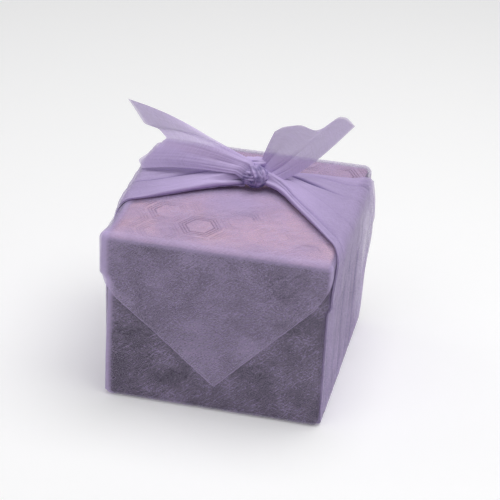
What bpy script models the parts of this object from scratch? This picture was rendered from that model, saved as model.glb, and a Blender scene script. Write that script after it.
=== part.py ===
"""A square cloth (furoshiki) wrapped round a lidded gift box and tied on top.

Metres, +Z up, +X to the right, -Y to the front.  The origin is the middle of the resting face.
One corner of the cloth goes up the front, over the lid and hangs inside the back.  The far corner
goes up the back, over the lid and hangs down the front as the pointed flap.  The side corners are
gathered up the left and right faces, over the lid's edges, and tied in a flat knot.
"""

import math
from collections import namedtuple

import bmesh
import bpy
import numpy as np
from mathutils import Matrix

# The box
BASE_SIDE = 0.200
LID_SIDE = 0.206
BOX_HEIGHT = 0.171
LID_DEPTH = 0.042
LID_BOARD = 0.0027
EDGE_ROUND = 0.004
SEAT_GAP = 0.0003

# The cloth
CLOTH_SIDE = 0.90
SHEET = 0.001
STANDOFF = 0.0012
LAYER_GAP = 0.0006
CORNER_BEND = 0.0027
LIP_BEND = 0.0017
SIDE_FLANGE = 0.014
TAKE_UP = 0.0134
FLAP_TIP_X = 0.002
FLAP_TURN = 3.0
FLAP_SETTLE = 0.0022
FLAP_SETTLE_OVER = 0.06
HEM_SLACK_LEFT = 0.96
HEM_SLACK_RIGHT = 0.98
HEM_PULL = 0.5
HEM_PULL_FROM = 0.092
HEM_PULL_WIDTH = 0.03
TIP_HALF = 0.0012
TUCK_SHORT = 0.004
EDGE_FLANGE = 0.0003
FOOT_FLANGE = 0.006
CORNER_INSET = 0.00025
CORNER_BACK = 0.0018
CORNER_LOW = 0.0026
CORNER_BORDER = 0.006
CORNER_HASTE = 1.15

# The knot
KNOT = np.array((0.006, 0.0205, 0.187))
KNOT_RADII = (0.0165, 0.0125, 0.0098)
KNOT_RIDGES = 5
KNOT_RIDGE = 0.07
SIDE_PLEATS = 8
PLEAT_RISE = 0.7
PLEAT_BASE = 0.0012
EDGE_PLEAT = 0.0022
EDGE_PLEAT_GAIN = 0.0006
TIE_FOLDS = 3.3
TIE_FOLD_START = 0.12
TIE_RIM = 0.06
FOOT_THICKNESS = 0.0025
FOOT_HEIGHT = 0.005
END_SHEET = 0.0013
END_WAVE = 0.0010
END_STATIONS = 8
LOOP_FROM = -25
LOOP_SWEEP = 230
LOOP_REACH = np.array((0.010, 0.0105, 0.0085))
LOOP_LOW = 0.0012
LOOP_THICK = 0.0034
LOOP_TAPER = 0.35

# Worked out from those
BOX_BOTTOM = SHEET + SEAT_GAP
LID_TOP = BOX_BOTTOM + BOX_HEIGHT
RIM = LID_TOP - LID_DEPTH
STEP = SHEET + LAYER_GAP
INNER = STANDOFF + SHEET / 2
OUTER = INNER + STEP
CLOTH_TOP = LID_TOP + OUTER + SHEET / 2
HALF_DIAGONAL = CLOTH_SIDE / math.sqrt(2)
FLAP_DROP = HALF_DIAGONAL - (BASE_SIDE / 2 + BOX_HEIGHT + LID_SIDE) - TAKE_UP
BELOW_RIM, OVER_RIM = RIM - 0.0075, RIM - 0.0012

# Where the strip has a row on a wall of the box, and how far its borders turn round the corner there
Level = namedtuple("Level", "z flange")
WALL = (
    Level(0.0140, FOOT_FLANGE),
    Level(0.0400, SIDE_FLANGE),
    Level(0.0850, SIDE_FLANGE),
    Level(BELOW_RIM, SIDE_FLANGE),
    Level(OVER_RIM, SIDE_FLANGE),
    Level(0.1565, SIDE_FLANGE),
)
TUCK_HEIGHTS = (0.0300, 0.0330, 0.0600, 0.0900, BELOW_RIM, OVER_RIM, 0.1500)
FLAP_SHARES = (0.06, 0.13, 0.20, 0.27, 0.34, 0.42, 0.55, 0.70, 0.85, 0.95, 0.995)

# One row of the wrap: its place and outward normal in the YZ plane, how far out its sides are,
# the bend of its sides, where its middle is, and how far the cloth reaches left and right of X = 0.
Row = namedtuple("Row", "y z ny nz side bend middle left right")

# The folds beside the gathered sides: which side, which way they run from the lid's corner, where
# they end and the height of their lowest point.
Corner = namedtuple("Corner", "side direction far foot")
CORNERS = (
    Corner(1, -1, 0.064, 0.150),
    Corner(1, 1, 0.050, 0.128),
    Corner(-1, -1, 0.064, 0.132),
    Corner(-1, 1, 0.050, 0.128),
)

# How far a loose side stands off the box near its back edge, and where
Bulge = namedtuple("Bulge", "right left y z y_spread z_spread")
BULGE = Bulge(0.0050, 0.0035, 0.082, 0.118, 0.034, 0.042)

# A gathered side, from the floor up the face: height, its front and back borders, how far the
# inside of it stands off the base at each border, and the height of its pleats.
Station = namedtuple("Station", "z front back front_off back_off pleat")
RIGHT_FACE = (
    Station(0.0013, -0.1000, 0.1010, 0.0036, 0.0036, 0.0005),
    Station(0.0036, -0.0997, 0.1011, 0.0036, 0.0036, 0.0006),
    Station(0.0100, -0.0992, 0.1015, 0.0032, 0.0046, 0.0012),
    Station(0.0400, -0.0985, 0.1020, 0.0030, 0.0048, 0.0016),
    Station(0.0850, -0.0982, 0.1020, 0.0030, 0.0050, 0.0018),
    Station(0.1210, -0.0985, 0.1020, 0.0034, 0.0052, 0.0018),
    Station(0.1285, -0.0990, 0.1010, 0.0075, 0.0075, 0.0018),
    Station(0.1480, -0.0985, 0.0965, 0.0075, 0.0075, 0.0020),
    Station(0.1620, -0.0905, 0.0860, 0.0075, 0.0075, 0.0022),
)
LEFT_FACE = (
    Station(0.0013, -0.1005, 0.1010, 0.0036, 0.0036, 0.0005),
    Station(0.0036, -0.1010, 0.1011, 0.0036, 0.0036, 0.0006),
    Station(0.0100, -0.1022, 0.1015, 0.0032, 0.0046, 0.0012),
    Station(0.0400, -0.1024, 0.1020, 0.0030, 0.0048, 0.0016),
    Station(0.0850, -0.1024, 0.1020, 0.0030, 0.0050, 0.0018),
    Station(0.1210, -0.1024, 0.1020, 0.0034, 0.0052, 0.0018),
    Station(0.1285, -0.1000, 0.1015, 0.0075, 0.0075, 0.0018),
    Station(0.1480, -0.0940, 0.0990, 0.0075, 0.0075, 0.0020),
    Station(0.1620, -0.0760, 0.0930, 0.0075, 0.0075, 0.0022),
)

# A tie on the lid: distance from the middle, its front and back borders, the lift of its
# underside and its height at the crown of its folds.
Reach = namedtuple("Reach", "x front back lift crown")
RIGHT_TIE = (
    Reach(0.1000, -0.0700, 0.0690, 0.0000, 0.0030),
    Reach(0.0850, -0.0470, 0.0635, 0.0000, 0.0036),
    Reach(0.0560, -0.0180, 0.0570, 0.0002, 0.0052),
    Reach(0.0340, 0.0030, 0.0480, 0.0008, 0.0080),
    Reach(0.0190, 0.0115, 0.0350, 0.0020, 0.0120),
    Reach(0.0080, 0.0140, 0.0290, 0.0040, 0.0110),
)
LEFT_TIE = (
    Reach(0.1000, -0.0385, 0.0820, 0.0000, 0.0030),
    Reach(0.0830, -0.0290, 0.0740, 0.0000, 0.0036),
    Reach(0.0600, -0.0130, 0.0640, 0.0002, 0.0052),
    Reach(0.0370, 0.0030, 0.0500, 0.0008, 0.0080),
    Reach(0.0180, 0.0105, 0.0360, 0.0020, 0.0120),
    Reach(0.0030, 0.0140, 0.0290, 0.0040, 0.0110),
)

# How a side's borders close in on those of its tie, round the lid's edge: the shares of the way
CLOSE_FROM, CLOSE_BY, CLOSE_TURNS = 0.35, 0.50, 4
# How soon the fine pleats give way to the tie's broad folds
BROAD_AT_EDGE, BROAD_AT_TIE, BROAD_STEP = 0.35, 0.45, 0.20

# A loop of the knot: its offset, how it leans and its half width
Loop = namedtuple("Loop", "offset lean width")
LOOPS = (Loop(0.0045, 0.25, 0.0062), Loop(-0.0065, -0.15, 0.0055))

# A free end spreads from the knot as a fan.  Each row is one fold of it: where it leaves the
# knot, where its hem is, both from the knot's middle, and how far it arches between the two.
Fold = namedtuple("Fold", "root hem arch")
LEFT_END = (
    Fold((-0.006, 0.0060, 0.0050), (-0.132, 0.030, 0.050), 0.010),
    Fold((-0.006, 0.0046, 0.0042), (-0.125, 0.027, 0.042), 0.011),
    Fold((-0.006, 0.0032, 0.0034), (-0.114, 0.020, 0.031), 0.012),
    Fold((-0.006, 0.0018, 0.0026), (-0.099, 0.012, 0.032), 0.010),
    Fold((-0.006, 0.0004, 0.0018), (-0.089, 0.003, 0.028), 0.008),
    Fold((-0.006, -0.0010, 0.0010), (-0.101, 0.000, 0.015), 0.009),
    Fold((-0.006, -0.0024, 0.0002), (-0.114, -0.003, 0.004), 0.008),
    Fold((-0.006, -0.0038, -0.0006), (-0.109, -0.007, -0.003), 0.005),
)
RIGHT_END = (
    Fold((0.0000, 0.0050, 0.0040), (0.0145, 0.012, 0.0443), 0.002),
    Fold((0.0016, 0.0046, 0.0038), (0.0223, 0.015, 0.0492), 0.002),
    Fold((0.0032, 0.0040, 0.0034), (0.0387, 0.018, 0.0523), 0.001),
    Fold((0.0048, 0.0034, 0.0028), (0.0549, 0.012, 0.0511), -0.001),
    Fold((0.0062, 0.0026, 0.0020), (0.0734, 0.022, 0.0637), -0.002),
    Fold((0.0076, 0.0016, 0.0010), (0.0810, 0.023, 0.0632), -0.003),
    Fold((0.0088, 0.0004, -0.0004), (0.0899, 0.020, 0.0567), -0.005),
)


def clear_scene():
    for obj in list(bpy.data.objects):
        bpy.data.objects.remove(obj, do_unlink=True)


def material(name, colour, roughness, alpha=1.0):
    mat = bpy.data.materials.new(name)
    mat.use_nodes = True
    shader = mat.node_tree.nodes["Principled BSDF"]
    shader.inputs["Base Color"].default_value = (*colour, 1)
    shader.inputs["Roughness"].default_value = roughness
    shader.inputs["Metallic"].default_value = 0
    shader.inputs["Alpha"].default_value = alpha
    return mat


def object_of(name, mesh, mat=None):
    obj = bpy.data.objects.new(name, mesh)
    bpy.context.scene.collection.objects.link(obj)
    if mat:
        mesh.materials.append(mat)
    return obj


def closed_skin(name, inner, outer):
    """A closed body between two grids of points of the same shape."""
    rows, columns, _ = inner.shape
    count = rows * columns

    def at(side, i, j):
        return side * count + i * columns + j

    faces = []
    for i in range(rows - 1):
        for j in range(columns - 1):
            for side in (0, 1):
                faces.append([at(side, i, j), at(side, i + 1, j), at(side, i + 1, j + 1), at(side, i, j + 1)])
    border = [(0, j) for j in range(columns)]
    border += [(i, columns - 1) for i in range(1, rows)]
    border += [(rows - 1, j) for j in range(columns - 2, -1, -1)]
    border += [(i, 0) for i in range(rows - 2, 0, -1)]
    for (i, j), (k, m) in zip(border, border[1:] + border[:1]):
        faces.append([at(0, i, j), at(0, k, m), at(1, k, m), at(1, i, j)])
    mesh = bpy.data.meshes.new(name)
    mesh.from_pydata(np.concatenate([inner.reshape(-1, 3), outer.reshape(-1, 3)]).tolist(), [], faces)
    face_outwards(mesh)
    return object_of(name, mesh)


def face_outwards(mesh):
    bm = bmesh.new()
    bm.from_mesh(mesh)
    bmesh.ops.recalc_face_normals(bm, faces=bm.faces)
    if bm.calc_volume(signed=True) < 0:
        bmesh.ops.reverse_faces(bm, faces=bm.faces)
    bm.to_mesh(mesh)
    bm.free()


def grid_normals(points):
    along = np.gradient(points, axis=0)
    across = np.gradient(points, axis=1)
    normals = np.cross(along, across)
    return normals / np.linalg.norm(normals, axis=2, keepdims=True)


def sheet_of(name, middle, thickness=SHEET):
    """A sheet of even thickness round a grid of points."""
    half = grid_normals(middle) * thickness / 2
    return closed_skin(name, middle - half, middle + half)


def fuse(name, pieces, mat):
    """One body made of all the pieces."""
    body = pieces[0]
    for piece in pieces[1:]:
        join = body.modifiers.new(piece.name, "BOOLEAN")
        join.operation = "UNION"
        join.solver = "EXACT"
        join.object = piece
    graph = bpy.context.evaluated_depsgraph_get()
    mesh = bpy.data.meshes.new_from_object(body.evaluated_get(graph))
    for piece in pieces:
        bpy.data.objects.remove(piece, do_unlink=True)
    mesh.name = name
    mesh.materials.clear()
    return object_of(name, mesh, mat)


# ---- the box


def rounded_block(name, half, low, high, mat):
    bm = bmesh.new()
    size = Matrix.Diagonal((2 * half, 2 * half, high - low, 1))
    bmesh.ops.create_cube(bm, size=1, matrix=Matrix.Translation((0, 0, (low + high) / 2)) @ size)
    bmesh.ops.bevel(bm, geom=bm.edges[:], offset=EDGE_ROUND, segments=3, profile=0.5, affect="EDGES")
    mesh = bpy.data.meshes.new(name)
    bm.to_mesh(mesh)
    bm.free()
    return object_of(name, mesh, mat)


def build_box():
    board = material("dark_board", (0.020, 0.014, 0.032), 0.6)
    paper = material("pink_paper", (0.62, 0.44, 0.56), 0.55)
    inside_half = LID_SIDE / 2 - LID_BOARD
    rounded_block("box_base", BASE_SIDE / 2, BOX_BOTTOM, LID_TOP - LID_BOARD - SEAT_GAP, board)
    lid = rounded_block("box_lid", LID_SIDE / 2, RIM - EDGE_ROUND, LID_TOP, paper)
    bm = bmesh.new()
    for half, low, high in (
        (inside_half, RIM - 2 * EDGE_ROUND, LID_TOP - LID_BOARD),
        (LID_SIDE, RIM - 3 * EDGE_ROUND, RIM),
    ):
        place = Matrix.Translation((0, 0, (low + high) / 2))
        bmesh.ops.create_cube(bm, size=1, matrix=place @ Matrix.Diagonal((2 * half, 2 * half, high - low, 1)))
    mesh = bpy.data.meshes.new("lid_pocket")
    bm.to_mesh(mesh)
    bm.free()
    pocket = object_of("lid_pocket", mesh)
    pocket.hide_render = True
    pocket.display_type = "WIRE"
    cut = lid.modifiers.new("pocket", "BOOLEAN")
    cut.operation = "DIFFERENCE"
    cut.solver = "EXACT"
    cut.use_self = True
    cut.object = pocket


# ---- the wrap: one long strip from the tucked corner to the flap's tip


def arc_points(centre, radius, first, last, steps=3):
    """Points and outward normals round a bend in the YZ plane, angles in degrees from +Y to +Z."""
    for step in range(steps + 1):
        angle = math.radians(first + (last - first) * step / steps)
        ny, nz = math.cos(angle), math.sin(angle)
        yield centre[0] + radius * ny, centre[1] + radius * nz, ny, nz


def full_reach(side, bend, flange):
    return side - bend + bend * math.pi / 2 + flange


def hem_reach(below, slope_left, slope_right, drop, tip_x):
    """How far left and right of the middle a pointed flap reaches, this far below the lid's edge."""

    def reach(slope, pull_from):
        depths, widths = [drop], [0.0]
        depths.append(drop - slope * pull_from)
        widths.append(pull_from)
        depths.append(depths[-1] - slope * (1 + HEM_PULL) * HEM_PULL_WIDTH)
        widths.append(pull_from + HEM_PULL_WIDTH)
        return float(np.interp(below, depths[::-1], widths[::-1]))

    left, right = reach(slope_left, HEM_PULL_FROM + tip_x), reach(slope_right, HEM_PULL_FROM - tip_x)
    return max(TIP_HALF, left) - tip_x, max(TIP_HALF, right) + tip_x


def wrap_rows():
    in_base, in_lid = BASE_SIDE / 2 + INNER, LID_SIDE / 2 + INNER
    out_base, out_lid = BASE_SIDE / 2 + OUTER, LID_SIDE / 2 + OUTER
    in_top, out_top = LID_TOP + INNER, LID_TOP + OUTER
    foot_side = BASE_SIDE / 2 + RIGHT_FACE[0].front_off + FOOT_THICKNESS / 2
    in_bend, out_bend = CORNER_BEND, CORNER_BEND + STEP
    in_lip, out_lip = LIP_BEND, LIP_BEND + STEP
    rows = []

    def add(y, z, ny, nz, side, bend, flange=EDGE_FLANGE, hem=None, middle=0.0):
        left = right = full_reach(side, bend, flange)
        if hem:
            left, right = min(left, hem[0]), min(right, hem[1])
        rows.append(Row(y, z, ny, nz, side, bend, middle, left, right))

    def turn(centre, radius, first, last, sides, bend):
        points = list(arc_points(centre, radius, first, last))
        for k, (y, z, ny, nz) in enumerate(points):
            share = k / (len(points) - 1)
            add(y, z, ny, nz, sides[0] + (sides[1] - sides[0]) * share, bend)

    # the tucked corner, inside the back, tip first
    for z in TUCK_HEIGHTS:
        reach = max(TIP_HALF, FLAP_DROP - TUCK_SHORT - (in_top - z))
        side = in_lid if z >= OVER_RIM else in_base
        add(side, z, 1, 0, side, in_lip, hem=(reach, reach))
    turn((in_lid - in_bend, in_top - in_bend), in_bend, 0, 90, (in_lid, in_lid), in_lip)
    add(0, in_top, 0, 1, in_lid, in_lip)
    turn((in_bend - in_lid, in_top - in_bend), in_bend, 90, 180, (in_lid, in_lid), in_lip)

    # down the front, under the box, up the back
    for at in reversed(WALL):
        side = in_lid if at.z >= OVER_RIM else in_base
        add(-side, at.z, -1, 0, side, in_lip, at.flange)
    foot_bend = CORNER_BEND + LAYER_GAP
    low = SHEET / 2
    turn((foot_bend - in_base, low + foot_bend), foot_bend, 180, 270, (in_base, foot_side), in_lip)
    add(0, low, 0, -1, foot_side, in_lip)
    turn((out_base - foot_bend, low + foot_bend), foot_bend, 270, 360, (foot_side, out_base), in_lip)
    for at in WALL:
        side = out_lid if at.z >= OVER_RIM else out_base
        add(side, at.z, 1, 0, side, out_lip, at.flange)
    turn((out_lid - out_bend, out_top - out_bend), out_bend, 0, 90, (out_lid, out_lid), out_lip)
    add(0, out_top, 0, 1, out_lid, out_lip)
    turn((out_bend - out_lid, out_top - out_bend), out_bend, 90, 180, (out_lid, out_lid), out_lip)

    # the flap, down to its tip
    slope_left = math.tan(math.radians(45 - FLAP_TURN)) * HEM_SLACK_LEFT
    slope_right = math.tan(math.radians(45 + FLAP_TURN)) * HEM_SLACK_RIGHT
    for share in FLAP_SHARES:
        below = share * FLAP_DROP
        reach = hem_reach(below, slope_left, slope_right, FLAP_DROP, FLAP_TIP_X)
        settle = FLAP_SETTLE * min(1.0, max(0.0, (RIM - CLOTH_TOP + below) / FLAP_SETTLE_OVER))
        tip = FLAP_TIP_X * share
        add(settle - out_lid, CLOTH_TOP - below, -1, 0, out_lid, out_lip, hem=reach, middle=tip)
    return rows


def wrap_point(row, across):
    """A point this far across a row: flat on the face, then round the bend and on along the side."""
    flat = row.side - row.bend
    beyond = abs(across) - flat
    sign = math.copysign(1, across)
    if beyond <= 0:
        return across, row.y, row.z
    angle = min(beyond / row.bend, math.pi / 2)
    inward = row.bend * (1 - math.cos(angle)) + max(0.0, beyond - row.bend * math.pi / 2)
    x = sign * (flat + row.bend * math.sin(angle))
    return x, row.y - row.ny * inward, row.z - row.nz * inward


def build_wrap():
    grid = []
    for row in wrap_rows():
        flat = row.side - row.bend
        turned = row.bend * math.pi / 2
        full = flat + turned + EDGE_FLANGE
        marks = [share * flat / full for share in (0, 0.25, 0.5, 0.75)]
        marks += [(flat + turned * share) / full for share in (0, 1 / 3, 2 / 3, 1)]
        marks.append(1.0)
        line = []
        for sign, reach in ((-1, row.left), (1, row.right)):
            width = min(reach, full) - sign * row.middle
            half = [row.middle + sign * mark * width for mark in marks]
            half[-1] = sign * max(reach, width + sign * row.middle)
            line += half[:0:-1] if sign < 0 else half
        grid.append([wrap_point(row, across) for across in line])
    return sheet_of("wrap", np.array(grid))


# ---- the folds that close the corners beside the gathered sides


def corner_fold(fold):
    """The flap's or the back's cloth turned on to a side face, from the lid's corner down to its hem."""
    x = fold.side * (LID_SIDE / 2 + OUTER - CORNER_INSET)
    corner = LID_SIDE / 2 + OUTER - CORNER_BACK
    top = CLOTH_TOP - CORNER_LOW
    rows = []
    for share in (0.0, 0.25, 0.5, 0.75, 1.0):
        y = fold.direction * (corner + (fold.far - corner) * share)
        bottom = fold.foot + (top - CORNER_BORDER - fold.foot) * min(1.0, share * CORNER_HASTE)
        rows.append([(x, y, bottom + (top - bottom) * part) for part in (0.0, 0.5, 1.0)])
    return sheet_of("corner_fold", np.array(rows))


# ---- the gathered sides and the ties


def pleats(across):
    """Height of the pressed pleats of a side, 0 to 1: a slow rise and a steep fall."""
    phase = (across * SIDE_PLEATS) % 1.0
    return np.where(phase < PLEAT_RISE, phase / PLEAT_RISE, (1 - phase) / (1 - PLEAT_RISE))


def broad_folds(across):
    """Height of a tie's few broad folds, with a rolled front border."""
    folds = np.abs(np.sin(math.pi * (TIE_FOLD_START + TIE_FOLDS * across))) ** 0.7
    rim = np.exp(-(((across - TIE_RIM) / TIE_RIM) ** 2))
    thin_borders = np.sin(math.pi * np.clip(across, 0.03, 0.97)) ** 0.35
    return np.clip(0.45 + 0.55 * folds + 0.25 * rim, 0, 1.15) * thin_borders


def bulge(side, y, z):
    size = BULGE.right if side > 0 else BULGE.left
    return size * np.exp(-(((y - BULGE.y) / BULGE.y_spread) ** 2) - ((z - BULGE.z) / BULGE.z_spread) ** 2)


def build_side(side, face, reaches):
    across = np.linspace(0, 1, 3 * SIDE_PLEATS + 1)
    fine, broad = pleats(across), broad_folds(across)
    inner, outer = [], []

    def add(x, y, z, normal, rise):
        inside = np.stack([np.broadcast_to(part, across.shape) for part in (side * x, y, z)], 1)
        inner.append(inside)
        outer.append(inside + np.array((side * normal[0], 0, normal[1])) * rise[:, None])

    for at in face:
        y = at.front + (at.back - at.front) * across
        x = BASE_SIDE / 2 + at.front_off + (at.back_off - at.front_off) * across + bulge(side, y, at.z)
        base = FOOT_THICKNESS if at.z < FOOT_HEIGHT else PLEAT_BASE
        add(x, y, at.z, (1, 0), base + at.pleat * fine)

    # round the lid's edge
    radius = CORNER_BEND + STEP + SHEET
    centre_x = BASE_SIDE / 2 + face[-1].front_off - radius
    centre_z = CLOTH_TOP + LAYER_GAP - radius
    last, first = face[-1], reaches[0]
    for step in range(CLOSE_TURNS + 1):
        share = step / CLOSE_TURNS
        closed = CLOSE_FROM + CLOSE_BY * share
        front = last.front + (first.front - last.front) * closed
        back = last.back + (first.back - last.back) * closed
        normal = math.cos(math.pi / 2 * share), math.sin(math.pi / 2 * share)
        mix = BROAD_AT_EDGE * share
        rise = PLEAT_BASE + (EDGE_PLEAT + EDGE_PLEAT_GAIN * share) * ((1 - mix) * fine + mix * broad)
        x, z = centre_x + radius * normal[0], centre_z + radius * normal[1]
        add(x, front + (back - front) * across, z, normal, rise)

    for step, at in enumerate(reaches):
        mix = min(1.0, BROAD_AT_TIE + BROAD_STEP * step)
        rise = PLEAT_BASE + (at.crown - PLEAT_BASE) * ((1 - mix) * fine + mix * broad)
        add(at.x, at.front + (at.back - at.front) * across, CLOTH_TOP + LAYER_GAP + at.lift, (0, 1), rise)
    return closed_skin("side", np.array(inner), np.array(outer))


# ---- the knot and its free ends


def build_knot_core():
    """The hard lump in the middle of the knot, crinkled lengthways."""
    bm = bmesh.new()
    bmesh.ops.create_uvsphere(bm, u_segments=18, v_segments=11, radius=1)
    for vert in bm.verts:
        turn = math.atan2(vert.co.y, vert.co.x)
        ridge = 1 + KNOT_RIDGE * math.cos(KNOT_RIDGES * turn + 2 * vert.co.z) * (1 - vert.co.z**2)
        for axis, radius in enumerate(KNOT_RADII):
            vert.co[axis] *= radius * ridge
            vert.co[axis] += KNOT[axis]
    mesh = bpy.data.meshes.new("knot_core")
    bm.to_mesh(mesh)
    bm.free()
    return object_of("knot_core", mesh)


def build_loop(loop):
    """One loop of the knot: a flattened tube that arches over it from front to back."""
    sides, steps = 8, 12
    low = np.array((loop.offset, 0, -LOOP_LOW))
    rings = []
    for step in range(steps + 1):
        angle = math.radians(LOOP_FROM + LOOP_SWEEP * step / steps)
        out = np.array((loop.lean * math.cos(angle), -math.cos(angle), math.sin(angle)))
        centre = KNOT + low + out * LOOP_REACH
        taper = 1 - LOOP_TAPER * abs(step / steps - 0.5) * 2
        for k in range(sides):
            turn = 2 * math.pi * k / sides
            flat = np.array((loop.width * taper * math.cos(turn), 0, 0))
            rings.append(centre + flat + out * LOOP_THICK * taper * math.sin(turn))
    faces = [list(range(sides)), [steps * sides + k for k in range(sides)]]
    for step in range(steps):
        for k in range(sides):
            here, beside = step * sides + k, step * sides + (k + 1) % sides
            faces.append([here, beside, beside + sides, here + sides])
    mesh = bpy.data.meshes.new("knot_loop")
    mesh.from_pydata(np.array(rings).tolist(), [], faces)
    face_outwards(mesh)
    return object_of("knot_loop", mesh)


def build_end(folds):
    """A free end: a fan of folds, narrow in the knot and wide at its hem."""
    grid = []
    for step in range(END_STATIONS):
        share = step / (END_STATIONS - 1)
        line = []
        for k in range(2 * len(folds) - 1):
            low, mix = divmod(k, 2)
            high = min(low + 1, len(folds) - 1)
            root, hem, arch = (
                np.array(this) * (1 - mix / 2) + np.array(other) * mix / 2
                for this, other in zip(folds[low], folds[high])
            )
            point = KNOT + root + (hem - root) * share
            point[2] += arch * math.sin(math.pi * share**0.75)
            point[1] += END_WAVE * share * (1 if k % 2 else -1)
            line.append(point)
        grid.append(line)
    return sheet_of("end", np.array(grid), END_SHEET)


def build_cloth():
    cloth = material("lavender_nonwoven", (0.47, 0.39, 0.60), 0.8, 0.75)
    pieces = [build_wrap()]
    pieces += [corner_fold(fold) for fold in CORNERS]
    pieces += [build_side(1, RIGHT_FACE, RIGHT_TIE), build_side(-1, LEFT_FACE, LEFT_TIE)]
    pieces += [build_knot_core(), *(build_loop(loop) for loop in LOOPS)]
    pieces += [build_end(LEFT_END), build_end(RIGHT_END)]
    fuse("furoshiki_cloth", pieces, cloth)


clear_scene()
build_box()
build_cloth()
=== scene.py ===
import math
from functools import reduce

import bpy
import numpy as np
from mathutils import Matrix, Vector, noise


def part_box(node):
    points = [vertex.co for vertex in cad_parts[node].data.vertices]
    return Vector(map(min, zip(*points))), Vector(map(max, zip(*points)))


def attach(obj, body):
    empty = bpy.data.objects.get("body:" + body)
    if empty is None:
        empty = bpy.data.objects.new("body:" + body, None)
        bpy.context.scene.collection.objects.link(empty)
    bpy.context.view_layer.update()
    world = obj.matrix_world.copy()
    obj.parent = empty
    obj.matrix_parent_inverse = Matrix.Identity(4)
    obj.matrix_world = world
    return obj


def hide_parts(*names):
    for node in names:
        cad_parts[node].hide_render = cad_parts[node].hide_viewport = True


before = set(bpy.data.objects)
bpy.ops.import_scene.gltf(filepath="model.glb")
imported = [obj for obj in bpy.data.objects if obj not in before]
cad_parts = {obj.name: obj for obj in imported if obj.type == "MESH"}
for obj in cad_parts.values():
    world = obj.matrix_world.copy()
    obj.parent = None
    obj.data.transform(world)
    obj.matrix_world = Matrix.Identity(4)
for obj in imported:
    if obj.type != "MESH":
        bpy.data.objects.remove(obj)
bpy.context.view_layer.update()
print("frame loaded")

# Metres, +Z up, the pointed flap on the -Y face; tables of points are in mm. The box is the frame's.
mm = 0.001
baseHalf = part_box("box_base")[1].x
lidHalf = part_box("box_lid")[1].x
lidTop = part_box("box_lid")[1].z
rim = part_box("box_lid")[0].z

layers = {
    "inner": 0.0017,  # from the box to the middle of the first layer
    "outer": 0.0033,  # and of the second, which ends in the flap
    "over": 0.0005,  # from there to the cloth's top
    "edgeRound": 0.006,  # bend of the first layer round the lid's top edges
    "sideRound": 0.0036,  # and of both layers round the upright edges
    "pressBelow": 0.0006,  # cloth lower than this is pressed flat, by this much
    "pressed": 0.22,
    "sunk": -0.0012,  # what would be this low is then at the lowest height
    "lowest": 0.0002,
}
innerBase, innerLid, innerTop = (size + layers["inner"] for size in (baseHalf, lidHalf, lidTop))
outerBase, outerLid, outerTop = (size + layers["outer"] for size in (baseHalf, lidHalf, lidTop))
innerBend = layers["edgeRound"]
outerBend = innerBend + layers["outer"] - layers["inner"]
clothTop = outerTop + layers["over"]


def rise(value, start=0, over=1):
    # a soft step from 0 at the start to 1
    value = np.clip((value - start) / over, 0, 1)
    return value * value * (3 - 2 * value)


def hill(value, middle, reach):
    return np.exp(-(((value - middle) / reach) ** 2))


def valley(off, blunt, soft):
    return np.exp(-np.sqrt(off**2 + blunt) / soft)


def spots(rows, first, second):
    # soft round spots, each with its place and reach in mm, and how much
    return sum(much * hill(first / mm, x, reach) * hill(second / mm, y, reach) for x, y, reach, much in rows)


def softened(values, width):
    # a running mean, with the ends held
    padded = np.pad(values, width, mode="edge")
    return np.convolve(padded, np.ones(2 * width + 1) / (2 * width + 1), "valid")


def grain(points, scale, seed):
    # smooth noise at every point of a grid, each seed in its own part of it
    flat = (points * scale + seed * 17.3).reshape(-1, points.shape[-1])
    if flat.shape[1] == 2:
        flat = np.concatenate([flat, np.full((len(flat), 1), seed * 3.1)], 1)
    values = [noise.noise(Vector(p)) for p in flat.tolist()]
    return np.array(values).reshape(points.shape[:-1])


def pair(first, second):
    return np.stack(np.broadcast_arrays(first, second), -1)


def normalsOf(points):
    normals = np.cross(np.gradient(points, axis=0), np.gradient(points, axis=1))
    return normals / np.maximum(np.linalg.norm(normals, axis=2, keepdims=True), 1e-12)


# the cloth is gathered here as patches of points, then joined into one mesh
patches = []
# the cloth's marks: how dense it looks, how near a hem it is, and painted shade, a dark violet mixed into
# its colour in creases, hollows and under folds
markNames = ("bunch", "hem", "paintedShade")


def addPatch(points, uv, bunch=0.0, hem=0.0, paintedShade=0.0):
    points = np.array(points)
    low = points[..., 2] < layers["pressBelow"]
    points[low, 2] = layers["lowest"] + layers["pressed"] * (points[low, 2] - layers["sunk"])
    marks = [np.broadcast_to(np.asarray(mark, float), points.shape[:2]) for mark in (bunch, hem, paintedShade)]
    patches.append((points, uv, marks))


def joinPatches(name):
    faces, start = [], 0
    for points, uv, marks in patches:
        index = start + np.arange(points[..., 0].size).reshape(points.shape[:2])
        quads = np.stack([index[:-1, :-1], index[:-1, 1:], index[1:, 1:], index[1:, :-1]], -1)
        faces.append(quads.reshape(-1, 4))
        start += index.size
    faces = np.concatenate(faces)
    verts = np.concatenate([points.reshape(-1, 3) for points, uv, marks in patches])
    uvs = np.concatenate([uv.reshape(-1, 2) for points, uv, marks in patches])
    mesh = bpy.data.meshes.new(name)
    mesh.from_pydata(verts.tolist(), [], faces.tolist())
    uvLayer = mesh.uv_layers.new(name="cloth")
    uvLayer.data.foreach_set("uv", uvs[faces.reshape(-1)].reshape(-1))
    for k, label in enumerate(markNames):
        values = np.concatenate([marks[k].reshape(-1) for points, uv, marks in patches])
        mesh.attributes.new(label, "FLOAT", "POINT").data.foreach_set("value", values.astype(np.float32))
    mesh.shade_smooth()
    piece = bpy.data.objects.new(name, mesh)
    bpy.context.scene.collection.objects.link(piece)
    print(name, len(faces) * 2, "triangles")
    return piece


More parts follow.
